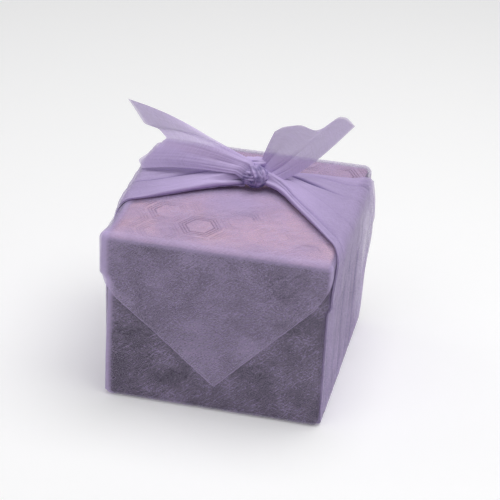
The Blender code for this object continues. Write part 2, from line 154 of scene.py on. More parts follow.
# the long strip: tucked corner, over the lid, down the front, under, up the back, over, the flap
strip = {
    "step": 0.0026,
    "backStep": 0.004,
    "hiddenStep": 0.006,
    "tuckRows": 26,
    "flapRows": 66,
    "flatColumns": 64,
    "bendColumns": 6,
    "flangeColumns": 4,
    "low": 0.0006,  # height of the layer under the box
    "footBend": 0.005,
    "rimSpan": (0.0065, 0.001),  # between these depths under the rim it moves out over the lid
    "sharpens": 0.018,  # over this far below the lid's edges its bends round the sides get sharper
    "flange": 0.044,  # turned under the gathered sides
    "flangeGrows": 0.004,
    "flapDrop": 0.146,  # from the cloth's top to the flap's tip
    "tuckShort": 0.004,  # how much less the tucked corner hangs
    "begin": 0.0005,
    "tipX": 0.002,
    "tipHalf": 0.0006,
    "turn": 3.0,  # degrees that the flap is turned, its left hem the flatter
    "slackLeft": 0.96,
    "slackRight": 0.98,
    "pullFrom": 0.092,  # beyond this far from the tip the hem is pulled up
    "pullOver": 0.03,
    "pull": 0.5,
    "settle": 0.0022,  # how far the flap sinks in under the lid's rim
    "settleOver": 0.06,
    "hemWide": 0.002,
    "hemLift": 0.0013,  # how proud its hem stands, and from how far in
    "hemLiftOver": 0.014,
    # how far the front left corner stands off, from how far ahead and over which length, and over
    # which height from the rim: the lid's corner, then the box's below it
    "loose": ((0.0034, 0.08, 0.022, 0.005), (0.003, 0.091, 0.009, -0.11)),
    "looseSide": (0.08, 0.022),
    "corner": 0.62,  # how much denser it looks where it turns round the upright edges, partly for the cloth seen at a slant and partly as a painted highlight on the rounded edge
    "topCorner": 0.36,
    "cornerFrom": (-0.0046, 0.0026),  # where that begins, from the left and the right bend
    "cornerOver": 0.006,
    "cornerAhead": (0.3, 0.05, 0.05),  # its least share at the back, and where it grows to the whole
    "denser": 0.19,  # it looks denser round the lid's edges, partly as a painted highlight along them: front or back, reach and share
    "lidEdges": ((-1, 0.012, 1.0), (1, 0.008, 0.3)),
    "clearer": 0.09,  # and lies close on top of the lid, where it hides less
    # where the cloth stands off the top: left to right, front to back, reach, how much
    "looser": ((0, -12, 34, 0.34), (-60, -20, 26, 0.12), (50, -60, 20, 0.1)),
    # where it lies closer on the front, or looser: left to right, height, reach and how much
    "closer": (
        (-72, 88, 30, 0.1),
        (-52, 40, 34, 0.11),
        (30, 20, 30, 0.06),
        (82, 100, 24, 0.05),
        (-30, 150, 26, 0.05),
        (60, 150, 26, 0.05),
        (-10, 90, 36, -0.05),
        (10, 45, 30, -0.04),
    ),
    "undulation": 0.0003,
    "waves": ((28.0, 1.0, 1), (90.0, 0.35, 2)),  # scale, share and seed
}


def hemReach(below, slope, pullFrom):
    # how far from the tip's line the flap's hem is, this far below the cloth's top
    over = strip["pullOver"]
    start = strip["flapDrop"] - slope * pullFrom
    depths = [start - slope * (1 + strip["pull"]) * over, start, strip["flapDrop"]]
    return float(np.interp(below, depths, [pullFrom + over, pullFrom, 0.0]))


def flapReach(below):
    tip, turn = strip["tipX"], strip["turn"]
    left = math.tan(math.radians(45 - turn)) * strip["slackLeft"]
    right = math.tan(math.radians(45 + turn)) * strip["slackRight"]
    reachLeft = hemReach(below, left, strip["pullFrom"] + tip)
    reachRight = hemReach(below, right, strip["pullFrom"] - tip)
    return max(strip["tipHalf"], reachLeft) - tip, max(strip["tipHalf"], reachRight) + tip


def stripStations():
    # the strip's rows: place, outward normal, where its sides are, their bend, and its own hems
    footBend, low = strip["footBend"], strip["low"]
    stations = []

    def add(y, z, ny, nz, side, bend, flange=0, hems=None, middle=0.0):
        stations.append((y, z, ny, nz, side, bend, flange, hems, middle))

    def overRim(z, base, lid):
        start, end = (rim - depth for depth in strip["rimSpan"])
        return base + (lid - base) * rise(z, start, end - start)

    def wall(facing, first, last, base, lid, bend, step):
        # straight up or down a face, out over the lid's rim on the way
        top = max(first, last)
        for z in np.linspace(first, last, max(2, int(abs(last - first) / step)) + 1):
            out = overRim(z, base, lid)
            rounding = bend + (layers["sideRound"] - bend) * rise(top, z, strip["sharpens"])
            flange = strip["flange"] * rise(top, z, strip["flangeGrows"])
            add(facing * out, z, facing, 0, out, rounding, flange)

    def quarterTurn(y, z, radius, first, sides, bend):
        for step in range(1, strip["bendColumns"]):
            share = step / strip["bendColumns"]
            angle = math.radians(first + 90 * share)
            ny, nz = math.cos(angle), math.sin(angle)
            side = sides[0] + (sides[1] - sides[0]) * share
            add(y + radius * ny, z + radius * nz, ny, nz, side, bend)

    def flat(first, last, z, nz, side, bend, step):
        for y in np.linspace(first, last, max(2, int(abs(last - first) / step)) + 1):
            add(y, z, 0, nz, side, bend)

    def overLid(lid, top, bend, step):
        quarterTurn(lid - bend, top - bend, bend, 0, (lid, lid), bend)
        flat(lid - bend, bend - lid, top, 1, lid, bend, step)
        quarterTurn(bend - lid, top - bend, bend, 90, (lid, lid), bend)

    # the tucked corner inside the back, tip first
    tuckDrop = strip["flapDrop"] - strip["tuckShort"]
    for z in np.linspace(innerTop - tuckDrop + strip["begin"], innerTop - innerBend, strip["tuckRows"]):
        reach = max(strip["tipHalf"], tuckDrop - (innerTop - z))
        out = overRim(z, innerBase, innerLid)
        add(out, z, 1, 0, out, innerBend, hems=(reach, reach))
    overLid(innerLid, innerTop, innerBend, strip["hiddenStep"])

    # down the front, under the box and up the back
    wall(-1, innerTop - innerBend, low + footBend, innerBase, innerLid, innerBend, strip["step"])
    quarterTurn(footBend - innerBase, low + footBend, footBend, 180, (innerBase, innerBase), innerBend)
    flat(footBend - innerBase, outerBase - footBend, low, -1, innerBase, innerBend, strip["hiddenStep"])
    quarterTurn(outerBase - footBend, low + footBend, footBend, 270, (innerBase, outerBase), innerBend)
    wall(1, low + footBend, outerTop - outerBend, outerBase, outerLid, outerBend, strip["backStep"])
    overLid(outerLid, outerTop, outerBend, strip["step"])

    # the flap, down to its tip
    for below in np.linspace(outerBend + strip["begin"], strip["flapDrop"] * 0.998, strip["flapRows"]):
        sunk = strip["settle"] * rise(rim - clothTop + below, 0, strip["settleOver"])
        add(sunk - outerLid, clothTop - below, -1, 0, outerLid, outerBend, 0, flapReach(below),
            strip["tipX"] * below / strip["flapDrop"])
    return stations


def stripDensity(x, y, z, ny, nz, side):
    # how much denser a row of the strip looks than cloth that lies on the box, with a painted highlight
    # round the lid's edges
    if ny and nz > 0:
        return strip["denser"]
    if ny == 0 and nz > 0:
        nearEdge = sum(share * hill(y, at * side, reach) for at, reach, share in strip["lidEdges"])
        onLid = (strip["denser"] + strip["clearer"]) * nearEdge - strip["clearer"]
        return onLid + spots(strip["looser"], x, y)
    if nz == 0 and ny < 0:
        return -spots(strip["closer"], x, z)
    return 0.0


def buildStrip():
    points, uv, bunch, hem = [], [], [], []
    along, before = 0.0, None
    for y, z, ny, nz, side, bend, flange, hems, middle in stripStations():
        flatHalf, turned = side - bend, bend * math.pi / 2
        full = flatHalf + turned + flange
        marks = np.concatenate([
            flatHalf * np.linspace(0, 1, strip["flatColumns"] // 2 + 1),
            flatHalf + turned * np.linspace(0, 1, strip["bendColumns"] + 1)[1:],
            full - flange + flange * np.linspace(0, 1, strip["flangeColumns"] + 1)[1:],
        ])
        reaches = hems or (full, full)
        left = middle - marks[:0:-1] * (min(reaches[0], full) + middle) / full
        right = middle + marks * (min(reaches[1], full) - middle) / full
        across = np.concatenate([left, right])
        off = np.abs(across)
        beyond = np.clip(off - flatHalf, 0, None)
        angle = np.minimum(beyond / bend, math.pi / 2)
        inward = bend * (1 - np.cos(angle)) + np.clip(beyond - turned, 0, None)
        x = np.sign(across) * (np.minimum(off, flatHalf) + bend * np.sin(angle))
        points.append(np.stack([x, y - ny * inward, z - nz * inward], 1))
        if before is not None:
            along += math.hypot(y - before[0], z - before[1])
        before = (y, z)
        uv.append(np.stack([across, np.full_like(across, along)], 1))

        density = stripDensity(x, y, z, ny, nz, side)
        # denser where it turns round the upright edges, partly as a painted highlight on the rounded edge
        begins = flatHalf + np.where(across < 0, *strip["cornerFrom"])
        least, aheadFrom, aheadOver = strip["cornerAhead"]
        ahead = least + (1 - least) * rise(aheadFrom, y, aheadOver)
        atCorner = strip["topCorner"] if ny == 0 and nz > 0 else strip["corner"]
        cornerTurn = rise(off, begins, strip["cornerOver"]) * atCorner * ahead
        bunch.append(density + cornerTurn * (1 - density))
        # distance to the hem, where the row ends in one
        hem.append(np.zeros_like(across))
        if hems:
            ends = np.where(across < middle, *reaches) < full
            gap = np.where(across < 0, reaches[0], reaches[1]) - off
            hem[-1] = ends * rise(1 - gap / strip["hemWide"])
            points[-1][:, 1] += ny * ends * strip["hemLift"] * rise(1 - gap / strip["hemLiftOver"])
    points, uv = np.array(points), np.array(uv)
    # it stands off the lid's left corner, and off the box's below it
    loose = 0.0
    for much, start, over, height in strip["loose"]:
        ahead = rise(-points[..., 1], start, over)
        loose = loose + much * rise(points[..., 2], rim, height) * ahead
    start, over = strip["looseSide"]
    points[..., 0] -= loose * rise(-points[..., 0], start, over)
    wave = sum(share * grain(points, scale, seed) for scale, share, seed in strip["waves"])
    points = points + normalsOf(points) * (strip["undulation"] * wave)[..., None]
    addPatch(points, uv, bunch=np.array(bunch), hem=np.array(hem))


corners = {
    # side, direction, where each front or back corner fold ends, and the height of its lowest point
    "folds": ((1, -1, 0.06, 0.147), (1, 1, 0.05, 0.128), (-1, -1, 0.03, 0.128), (-1, 1, 0.07, 0.128)),
    "slope": 1.1,
    "least": 0.014,  # how far it hangs at its end
    "bunch": 0.3,
    "grid": (18, 12),
    "hem": 0.1,  # share of its height that its hem takes up
}


def buildCornerFolds():
    start, top = outerLid - outerBend, outerTop - layers["sideRound"]
    for side, direction, far, foot in corners["folds"]:
        back = np.linspace(0, start - far, corners["grid"][0])
        low = np.minimum(foot + corners["slope"] * back, top - corners["least"])
        down = np.linspace(0, 1, corners["grid"][1])
        z = top + (low - top)[:, None] * down
        y = np.broadcast_to(direction * (start - back)[:, None], z.shape)
        x = np.full_like(z, side * outerLid)
        hem = rise(down - 1 + corners["hem"], 0, corners["hem"])
        addPatch(np.stack([x, y, z], -1), np.stack([y + x, z], -1), bunch=corners["bunch"], hem=hem)


# the gathered sides: up a face, round the lid's edge and in to the knot
faceColumns = ("z", "front", "back", "frontOff", "backOff")
tieColumns = ("x", "front", "back", "lift", "crown")
# a crease runs from the foot over the lid's edge and the middle of the tie to the knot: its place
# across in percent and its depth in mm at those four, how soft it is before and after its bottom
# in percent, and how dark the painted shade along its line is
creasePlaces = (-1.0, 0.0, 0.55, 1.0)
rightSide = {
    "sign": 1,
    # how dark the painted shade just in front of the knot is
    "nearKnotShade": 0.25,
    "bulge": (0.005, 0.082, 0.118),
    "face": (
        (1, -93, 98, 1.4, 2.2),
        (4.5, -96.5, 100, 1.4, 2.4),
        (12, -98.5, 101, 1.4, 2.8),
        (40, -98.7, 101.5, 1.4, 3.6),
        (85, -98.7, 101.8, 1.6, 4),
        (123, -99.2, 101.5, 2.2, 4.4),
        (130, -102.2, 100.5, 5.6, 6.2),
        (148, -102, 96.5, 6, 6.8),
        (162, -93, 86, 7, 7),
    ),
    "tie": (
        (100, -70, 64, 0, 3.2),
        (85, -50, 61.5, 0, 3.8),
        (56, -13.6, 60, 0.1, 4.8),
        (34, 14, 52, 1.4, 7),
        (19, 20, 37, 4, 11),
        (6, 20.5, 29, 5.8, 11),
    ),
    "rollEdge": 0.0024,  # height of the rolled front border at the lid's edge, and at the knot
    "rollKnot": 0.0042,
    "tuck": 0.18,  # how far across it reaches back under itself
    "creases": (
        ((2.2, 3, 4.5, 7), (1.2, 0.3, 0.8, 0.4), 0.8, 1.2, 0.9),
        ((6, 9, 10.5, 21), (2, 1.6, 3.4, 4.4), 1.4, 4.5, 1),
        ((10.5, 14, 18, 23), (1.4, 0.3, 0.3, 0), 1.4, 2, 0.7),
        ((16.5, 20, 24, 30), (2, 0.3, 0.3, 0), 4, 2, 0.5),
        ((24.5, 27, 32, 38), (2.2, 0.4, 0.4, 0), 3, 3, 0.4),
        ((33, 34.5, 48, 38), (3, 0.6, 0.4, 4.6), 5.5, 1.8, 0.7),
        ((42, 44, 52, 44), (2, 0.4, 0.8, 0), 3, 4.5, 0.4),
        ((52, 52, 58, 52), (2.6, 0.4, 0.6, 0), 6, 2.2, 0.5),
        ((63, 65, 70, 62), (3, 0.4, 4.2, 3.2), 6, 2, 1),
        ((71, 73, 80, 86), (2.2, 0.6, 0.4, 0), 2.2, 4.5, 0.5),
        ((79, 80, 85, 88), (2.4, 0.6, 1, 0.4), 5, 2, 0.3),
        ((86, 87, 90, 93), (2, 2.8, 2, 1.6), 3, 2.5, 0.5),
        ((93, 93.5, 95, 96), (2.2, 2, 0.8, 0.4), 1.8, 3, 0.3),
    ),
}
leftSide = {
    "sign": -1,
    # how dark the painted shade just in front of the knot is
    "nearKnotShade": 0.75,
    "bulge": (0.0035, 0.07, 0.1),
    "face": (
        (1, -89, 98, 1.4, 2.2),
        (4.5, -92.5, 100, 1.6, 2.4),
        (12, -94, 101, 2, 2.8),
        (40, -94.5, 101.5, 2.2, 3.6),
        (85, -95.5, 101.8, 2.4, 4),
        (123, -95, 101.5, 2.8, 4.4),
        (130, -90, 101.2, 6, 6.2),
        (148, -72, 99, 6.6, 6.8),
        (162, -52, 93, 7, 7),
    ),
    "tie": (
        (100, -38.5, 82, 0, 3),
        (83, -29, 74, 0, 3.6),
        (60, -12.8, 64, 0.1, 5.3),
        (37, 3.6, 50, 0.4, 8.4),
        (18, 12.4, 36, 1, 13),
        (2, 17.8, 29, 1.8, 13.2),
    ),
    "rollEdge": 0.0034,
    "rollKnot": 0.006,
    "tuck": 0.3,
    "creases": (
        ((7, 6, 8, 12), (1.4, 0.4, 0.3, 0), 3, 3, 0),
        ((17, 15, 17, 20), (2.4, 1, 0.3, 0), 4.5, 2, 0),
        ((26, 30, 44, 60), (2, 2.4, 4, 5), 6, 3, 0.9),
        ((35, 39, 50, 64), (2.8, 1.4, 1, 0), 3, 4, 0),
        ((44, 46, 56, 68), (2.2, 1.2, 1.4, 1), 5, 2, 0.2),
        ((53, 54, 62, 74), (2.6, 1.8, 1, 0), 2.5, 4.5, 0),
        ((62, 62, 70, 79), (2.2, 1.2, 1.6, 2.4), 5, 2.5, 0.4),
        ((71, 71.5, 77, 84), (2.8, 1.6, 0.8, 0), 3, 4.5, 0),
        ((80, 80, 83, 87), (2, 1.4, 1.2, 1), 5, 2, 0.2),
        ((88, 89, 91.5, 94), (2.2, 1.8, 1.4, 1.6), 2.5, 4, 0),
    ),
}
gather = {
    "bend": 0.0085,  # round the lid's edge
    "footBend": 0.0035,
    "footAngles": (-80, -15, 4),
    "over": 0.0003,  # from the cloth's top to the ties
    "faceRows": 50,
    "bendRows": 9,
    "tieRows": 46,
    "topColumns": 128,
    "underColumns": 24,
    "turnColumns": 5,
    "hemColumns": 10,
    "spacing": 0.0005,  # between the layers
    # how far out the layers under the top one are: their count from below, and the least share of
    # the top one's height and how much more it is beyond its rolled border
    "hemLayer": (3, 0.1, 0.25),
    "middleLayer": (2, 0.06, 0.44),
    "lowLayer": (1, 0.02, 0.18),
    "snugOver": 0.12,
    "body": 0.0034,  # how far the folds of a face stand out
    "thinFoot": (0.15, 0.002, 0.016),  # least share of that at the foot, and where it grows
    "bulgeReach": (0.034, 0.042),
    "crinkle": 0.00026,
    "crinkles": ((105.0, 1.0, 5), (260.0, 0.6, 6), (32.0, 2.4, 7)),  # scale, share and seed
    "pinch": 0.0011,  # depth of the small folds where the knot pinches a tie
    "pinchFrom": 0.8,
    # painted shade in those folds, and on the layers under the front border near the knot
    "pinchDark": 0.8,
    "faceLines": 1.7,  # how much darker the painted shade in the creases of a face is than on a tie
    "lineFull": 0.0036,  # a crease this deep has a line of painted shade that is fully dark
    "lineWide": (0.005, 0.013),  # half width of a painted shade line on a face, and how much wider at the knot
    "stray": 0.03,  # how far a crease wanders on a face, as a share of the way across
    "bunch": (0.18, 0.67, -0.3, 1.2),  # how dense it looks, how much denser, from where, over what
    "weaveAcross": 0.2,
    "weaveStep": 0.0036,
}


def gatherStations(side):
    face = dict(zip(faceColumns, mm * np.array(side["face"]).T))
    tie = dict(zip(tieColumns, mm * np.array(side["tie"]).T))
    bend, footBend = gather["bend"], gather["footBend"]
    bendX = baseHalf + face["frontOff"][-1] - bend
    knotX, topZ = tie["x"][-1], clothTop + gather["over"]
    lowZ, highZ = face["z"][0] + footBend, topZ - bend
    rows = []

    def addRow(kind, degrees, x, z, radius=0.0):
        nx, nz = math.cos(math.radians(degrees)), math.sin(math.radians(degrees))
        rows.append(dict(kind=kind, x=x + radius * nx, z=z + radius * nz, nx=nx, nz=nz, degrees=degrees))

    def onFace(name, z):
        return float(np.interp(z, face["z"], face[name]))

    def onTie(name, x):
        return float(np.interp(x, tie["x"][::-1], tie[name][::-1]))

    for degrees in np.linspace(*gather["footAngles"]):
        addRow("face", degrees, -footBend, lowZ, footBend)
    for z in np.linspace(lowZ, highZ, gather["faceRows"]):
        addRow("face", 0.0, 0.0, z)
    for degrees in np.linspace(0, 90, gather["bendRows"] + 2)[1:-1]:
        addRow("edge", degrees, bendX, highZ, bend)
    for x in np.linspace(bendX, knotX, gather["tieRows"]):
        addRow("tie", 90.0, x, topZ)
    # where the borders are at each row, and how far out the face's cloth is; the edge is -1 at the
    # foot, 0 at the lid's edge and 1 at the knot
    least, thinFrom, thinOver = gather["thinFoot"]
    for row in rows:
        row.update(frontOff=0.0, backOff=0.0, lift=0.0, crown=gather["body"], edge=0.0, thin=1.0)
        if row["kind"] == "face":
            for name in ("front", "back", "frontOff", "backOff"):
                row[name] = onFace(name, row["z"])
            row["thin"] = least + (1 - least) * rise(row["z"], thinFrom, thinOver)
            row["edge"] = float(np.clip((row["z"] - lowZ) / (highZ - lowZ), 0, 1)) - 1.0
        elif row["kind"] == "edge":
            share = row["degrees"] / 90
            for name in ("front", "back"):
                row[name] = onFace(name, highZ) * (1 - share) + onTie(name, bendX) * share
            row["crown"] += (tie["crown"][0] - gather["body"]) * share
        else:
            for name in ("front", "back", "lift", "crown"):
                row[name] = onTie(name, row["x"])
            row["edge"] = 1 - (row["x"] - knotX) / (bendX - knotX)
    for name in ("front", "back", "crown", "lift"):
        for row, value in zip(rows, softened(np.array([row[name] for row in rows]), 3)):
            row[name] = float(value)
    return rows


# the creases' depth, and the painted shade along their lines
def creaseDepth(side, edge, across):
    depth, line = np.zeros_like(across), np.zeros_like(across)
    onFace = rise(-edge, 0, 0.15)
    thin = gather["lineWide"][0] + gather["lineWide"][1] * rise(edge)
    for k, (places, depths, before, after, darkest) in enumerate(side["creases"]):
        stray = gather["stray"] * noise.noise(Vector((edge * 2.4, k * 5.3, side["sign"] * 2.0)))
        off = across - 0.01 * np.interp(edge, creasePlaces, places) - stray * float(rise(0.4, edge, 0.4))
        deep = mm * np.interp(edge, creasePlaces, depths)
        soft = 0.01 * np.where(off < 0, before, after)
        depth = np.maximum(depth, deep * np.exp(-np.abs(off / soft) ** 1.2 * 1.6))
        dark = darkest * min(1.0, deep * (1 + gather["faceLines"] * onFace) / gather["lineFull"])
        line = np.maximum(line, dark * hill(off, 0, thin))
    return depth, line


def foldHeight(side, row, across):
    # how far the top layer stands out from the layers under it
    edge, flat = row["edge"], 0.0007
    roll = side["rollEdge"] + (side["rollKnot"] - side["rollEdge"]) * rise(edge)
    border = flat + (roll - flat) * rise(edge, 0.02, 0.3)
    middle = row["crown"] * (0.8 + 0.2 * np.sin(math.pi * across) ** 0.7)
    mix = rise(across, 0, 0.14)
    height = border * (1 - mix) + middle * mix
    height = height * (0.45 + 0.55 * rise(1, across, 0.1))
    height = height - creaseDepth(side, edge, across)[0]
    return np.maximum(height, 0.0004) * row["thin"] + 0.0002


def layersAcross(side, row, top):
    # one row through all layers, from the hem under the front border: shares of the way across, how
    # far out they are, and where the top layer begins
    spacing, turns = gather["spacing"], gather["turnColumns"]
    under = np.linspace(0, 1, gather["underColumns"])
    height = foldHeight(side, row, top)
    snug = rise(top, 0, gather["snugOver"])
    topLift = 3 * spacing + height
    hemLift, middleLift, lowLift = (
        count * spacing + (least + more * snug) * height
        for count, least, more in (gather["hemLayer"], gather["middleLayer"], gather["lowLayer"]))
    shares, lifts = [], []

    def run(places, lift):
        shares.extend(places)
        lifts.extend(np.interp(places, top, lift))

    def turnOver(share, first, second, outward):
        half = (first - second) / 2
        for angle in math.pi * np.arange(1, turns + 1) / (turns + 1):
            shares.append(share + half * math.sin(angle) * outward / max(row["back"] - row["front"], 1e-4))
            lifts.append((first + second) / 2 + half * math.cos(angle))

    run(np.linspace(side["tuck"], 0.0, gather["hemColumns"]), hemLift)
    turnOver(0.0, hemLift[0], topLift[0], 1)
    start = len(shares)
    run(top, topLift)
    turnOver(1.0, topLift[-1], middleLift[-1], 1)
    run(under[::-1], middleLift)
    turnOver(0.0, middleLift[0], lowLift[0], -1)
    run(under, lowLift)
    return np.array(shares), np.array(lifts), start


def buildGather(side):
    rows = gatherStations(side)
    top = np.linspace(0, 1, gather["topColumns"])
    points, uv, bunch, paintedShade = [], [], [], []
    along, before = 0.0, None
    sign, (bulge, bulgeY, bulgeZ) = side["sign"], side["bulge"]
    reachY, reachZ = gather["bulgeReach"]
    dense, denser, denserFrom, denserOver = gather["bunch"]
    ripple = grain(pair(top * 11, sign), 1.0, 8)
    for row in rows:
        edge = row["edge"]
        shares, lifts, start = layersAcross(side, row, top)
        onTop = slice(start, start + len(top))
        pinched = rise(edge, gather["pinchFrom"], 1 - gather["pinchFrom"]) * rise(ripple, 0, 0.3)
        lifts[onTop] -= gather["pinch"] * pinched
        y = row["front"] + (row["back"] - row["front"]) * shares
        x, z = np.full_like(y, row["x"]), np.full_like(y, row["z"] + row["lift"])
        if row["kind"] == "face":
            off = row["frontOff"] + (row["backOff"] - row["frontOff"]) * shares
            z = np.full_like(y, row["z"])
            x = x + baseHalf + off + bulge * hill(y, bulgeY, reachY) * hill(z, bulgeZ, reachZ)
        points.append(np.stack([sign * (x + row["nx"] * lifts), y, z + row["nz"] * lifts], 1))
        if row["kind"] == "face":
            along += gather["weaveStep"] if before else 0.0
        else:
            along += math.hypot(row["x"] - before[0], row["z"] - before[1])
        before = (row["x"], row["z"])
        run = np.concatenate([[0], np.cumsum(np.abs(np.diff(shares)))]) * gather["weaveAcross"]
        uv.append(np.stack([run * sign, np.full_like(run, along)], 1))
        marks = np.zeros_like(shares)
        # painted shade on the layers under the front border, near the knot
        marks[:start] = gather["pinchDark"] * rise(edge, 0.93, 0.07)
        # painted shade on the crumpled cloth just in front of the knot
        nearKnotShade = side["nearKnotShade"] * rise(edge, 0.9, 0.09) * rise(0.55, top, 0.3)
        nearKnotShade = nearKnotShade * np.clip(0.65 + 1.3 * grain(pair(top * 9, edge * 40), 1.0, 51), 0, 1)
        lines = np.maximum(creaseDepth(side, edge, top)[1], gather["pinchDark"] * pinched)
        marks[onTop] = np.maximum(lines, nearKnotShade)
        paintedShade.append(marks)
        bunch.append(np.full_like(shares, dense + denser * rise(edge, denserFrom, denserOver)))
    points, uv = np.array(points), np.array(uv)
    # fine crinkles run along the pull, towards the knot
    lines = uv * (1.0, 0.22)
    pull = [0.9 - 0.6 * rise(1 + row["edge"]) + 1.9 * rise(row["edge"], 0.1) for row in rows]
    pull = (np.array(pull) * [row["thin"] for row in rows])[:, None]
    crinkle = sum(share * grain(lines, scale, seed) for scale, share, seed in gather["crinkles"])
    points = points - sign * normalsOf(points) * (gather["crinkle"] * pull * crinkle)[..., None]
    addPatch(points, uv, bunch=np.array(bunch), paintedShade=np.array(paintedShade))


# the knot: a crinkled band over a core, and the lumps that its two ends leave from
knotMiddle = np.array((0.006, 0.0205, 0.187))

knot = {
    "shift": (-0.0006, 0.0026, 0.0017),
    "radii": (0.0142, 0.0126, 0.0109),
    "grid": (88, 108),
    "band": 0.0074,  # half the width of the band that goes round it
    "bandRise": 0.0012,
    "lean": 0.85,  # how far the band slants over
    "wander": 0.34,
    "spreads": (0.5, 75, 60),  # how much of the band spreads into the left end, from and over how far
    # place across the band, from -1 to 1, at 45 degrees from the front, where 90 is the top, how far
    # it slants in 90 degrees, softness, depth, the degrees that it runs over, and the darkness of its
    # painted shade
    "bandPleats": (
        (-0.46, 0.3, 0.26, 2.7, -70, 85, 1),
        (0.02, -0.6, 0.16, 2, 10, 110, 1),
        (0.44, -0.1, 0.28, 2.8, -40, 120, 1),
    ),
    # and along the lumps beside it, at these degrees round them
    "lumpPleats": (
        (-16, 0, 10, 2.2, 0, 1, 1),
        (10, 0, 12, 2, 0, 1, 0.9),
        (32, 0, 10, 2.8, 0, 1, 1),
        (58, 0, 12, 1.8, 0, 1, 0.8),
        (84, 0, 12, 2.2, 0, 1, 0.7),
        (120, 0, 20, 1.8, 0, 1, 0.4),
        (170, 0, 20, 1.6, 0, 1, 0.3),
    ),
    "lumpWander": 50,
    "beside": (1.06, 0.1, 0.0008, 0.7),  # the groove beside the band: place, reach, depth, darkness of its painted shade
    "crinkle": 0.001,
    "shade": 0.66,  # how dark the painted shade in its crumpled hollows is
    "under": 0.85,  # and the painted shade on the cloth where the ties go in below it
    # the darkest that its painted shade gets
    "darkest": 0.92,
}


def ball(grid):
    # points of a unit ball from its right pole to its left one, and their degrees round it, from
    # the front over the top
    rows, columns = grid
    polar = np.linspace(0.03, math.pi - 0.03, rows)[:, None]
    turn = np.linspace(0, 2 * math.pi, columns + 1)[None]
    unit = np.stack(np.broadcast_arrays(
        np.cos(polar), -np.sin(polar) * np.cos(turn), np.sin(polar) * np.sin(turn)), -1)
    degrees = np.broadcast_to((np.degrees(turn) + 90) % 360 - 90, unit.shape[:2])
    return unit, degrees, polar, turn


def closed(values):
    # the last column lies on the first one
    values[:, -1] = values[:, 0]
    return values


def pleats(rows, across, along):
    # creases at the table's places, as their depth and the darkness of their painted shade
    depth, dark = np.zeros_like(across), np.zeros_like(across)
    for at, tilt, soft, deep, first, last, darkest in rows:
        off = across - at - tilt * (along - 45) / 90
        groove, ends = valley(off, (0.12 * soft) ** 2, soft), (last - first) * 0.25
        here = rise(along, first, ends) * rise(last, along, ends)
        depth = np.maximum(depth, deep * mm * groove * here)
        dark = np.maximum(dark, darkest * groove**4 * here)
    return depth, dark


def buildKnot():
    unit, degrees, polar, turn = ball(knot["grid"])
    points = unit * knot["radii"]
    wander = knot["wander"] * grain(unit, 0.9, 41)
    across = (points[..., 0] + knot["lean"] * points[..., 1]) / knot["band"] + wander
    depth, dark = pleats(knot["bandPleats"], across, degrees)
    along = degrees + knot["lumpWander"] * wander
    lumpDepth, lumpDark = pleats(knot["lumpPleats"], along, np.full_like(across, 0.5))
    spread, spreadFrom, spreadOver = knot["spreads"]
    onBand = rise(1.1, np.abs(across), 0.2)
    onBand = onBand * (1 - spread * rise(degrees, spreadFrom, spreadOver))
    outward = np.sqrt(1 - unit[..., 0] ** 2)
    relief = (knot["bandRise"] - depth) * onBand - lumpDepth * (1 - onBand) * outward
    at, reach, deep, besideDark = knot["beside"]
    beside = hill(np.abs(across), at, reach)
    relief = relief - deep * beside + knot["crinkle"] * grain(unit * (1.6, 1, 1), 3.4, 43) * outward
    besideDark = besideDark * beside * rise(0.6, unit[..., 2], 0.6)
    dark = np.maximum(dark * onBand, np.maximum(lumpDark * (1 - onBand), besideDark))
    normal = unit / np.array(knot["radii"])
    normal /= np.linalg.norm(normal, axis=2, keepdims=True)
    points = knotMiddle + knot["shift"] + points + normal * closed(relief)[..., None]
    # painted shade, darkest where the ties go in below it and patchy in its crumpled hollows
    under = rise(-unit[..., 1], 0.05, 0.4) * rise(0.12, unit[..., 2], 0.4)
    under = knot["under"] * under * np.clip(0.95 + 1.4 * grain(unit, 3.2, 44), 0.25, 1)
    shade = knot["shade"] * np.clip(0.55 + 1.3 * grain(unit * (1.5, 1, 1), 2.4, 45), 0.1, 1)
    dark = np.clip(np.maximum(np.maximum(dark, under), closed(shade)), 0, knot["darkest"])
    addPatch(points, pair(turn * 0.01, polar * 0.012), bunch=1.0, paintedShade=dark)


# the pale loop over its top, from the left end to the right one
knotLoop = {
    "middle": (-0.0048, 0.0112, 0.0106),  # from the knot's middle
    "radii": (0.015, 0.0074, 0.0064),
    "turn": 10,  # degrees that it rises to the right
    "grid": (26, 44),
    "wander": 16,
    "swell": 0.0009,
    # creases along it, in degrees round it where 90 is on top: place, softness, depth, darkness of its
    # painted shade
    "creases": (
        (28, 16, 1.6, 0.8), (62, 14, 1.2, 0.35), (98, 16, 1.4, 0.3), (128, 12, 1.6, 0.5),
        (156, 14, 2.2, 0.7), (190, 12, 1.8, 0.6), (222, 14, 2.2, 0.7),
    ),
}


def buildKnotLoop():
    unit, degrees, polar, turn = ball(knotLoop["grid"])
    degrees = degrees + knotLoop["wander"] * grain(unit, 1.1, 61)
    relief, dark = knotLoop["swell"] * grain(unit * (1.6, 1, 1), 2.2, 62), np.zeros(unit.shape[:2])
    for at, soft, deep, line in knotLoop["creases"]:
        groove = valley(degrees - at, 4, soft)
        relief = relief - deep * mm * groove
        dark = np.maximum(dark, line * groove**4)
    points = unit * knotLoop["radii"] + unit * (closed(relief) * np.sin(polar))[..., None]
    tilt = Matrix.Rotation(-math.radians(knotLoop["turn"]), 3, "Y")
    points = knotMiddle + knotLoop["middle"] + points @ np.array(tilt).T
    addPatch(points, pair(turn * 0.006, polar * 0.014), bunch=1.0, paintedShade=dark)


